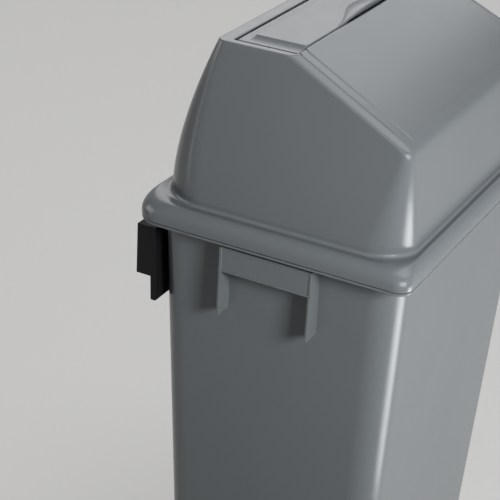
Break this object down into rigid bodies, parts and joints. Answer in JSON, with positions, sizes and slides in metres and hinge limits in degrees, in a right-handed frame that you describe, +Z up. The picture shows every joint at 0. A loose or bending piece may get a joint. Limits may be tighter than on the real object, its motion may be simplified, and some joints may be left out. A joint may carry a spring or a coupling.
{
  "type": "wall-hung waste bin",
  "caption": "Tall tapered waste bin that hangs by its rim on a wall rail, with moulded end handles and a lift-off hood whose hinged flap closes the mouth in its top.",
  "frame": {"origin": "on the wall, in the middle of the rail's back face, level with the row of screws", "axes": "+X along the wall, to the right seen from the front; +Y into the wall; +Z up; the bin's front faces -Y"},
  "size_m": [0.48, 0.382, 0.7688],
  "materials": {
    "body_plastic": "moulded mid grey, semi-gloss with a fine texture",
    "hood_plastic": "moulded mid grey, semi-gloss with a fine texture",
    "flap_plastic": "moulded mid grey, semi-gloss with a fine texture",
    "rail_plastic": "moulded black, satin",
    "pin_steel": "drawn steel",
    "screw_zinc": "zinc plated",
    "plug_plastic": "moulded grey nylon"
  },
  "bodies": {
    "rail": {"wall_rail": "rail_plastic", "wall_screw_1": "screw_zinc", "wall_screw_2": "screw_zinc", "wall_screw_3": "screw_zinc", "wall_screw_4": "screw_zinc", "screw_washer_1": "screw_zinc", "screw_washer_2": "screw_zinc", "screw_washer_3": "screw_zinc", "screw_washer_4": "screw_zinc", "wall_plug_1": "plug_plastic", "wall_plug_2": "plug_plastic", "wall_plug_3": "plug_plastic", "wall_plug_4": "plug_plastic"},
    "bin": {"bin_body": "body_plastic"},
    "hood": {"hood": "hood_plastic", "flap_hinge_pin_left": "pin_steel", "flap_hinge_pin_right": "pin_steel"},
    "flap": {"flap": "flap_plastic"}
  },
  "joints": [
    {"name": "bin_lift", "type": "slide", "parent": "rail", "child": "bin", "axis": [0, 0, 1], "range_m": [0, 0.05]},
    {"name": "hood_lift", "type": "slide", "parent": "bin", "child": "hood", "axis": [0, 0, 1], "range_m": [0, 0.25]},
    {"name": "flap_hinge", "type": "hinge", "parent": "hood", "child": "flap", "pos_m": [0, -0.10185, 0.25205], "axis": [-1, 0, 0], "range_deg": [0, 92]}
  ]
}
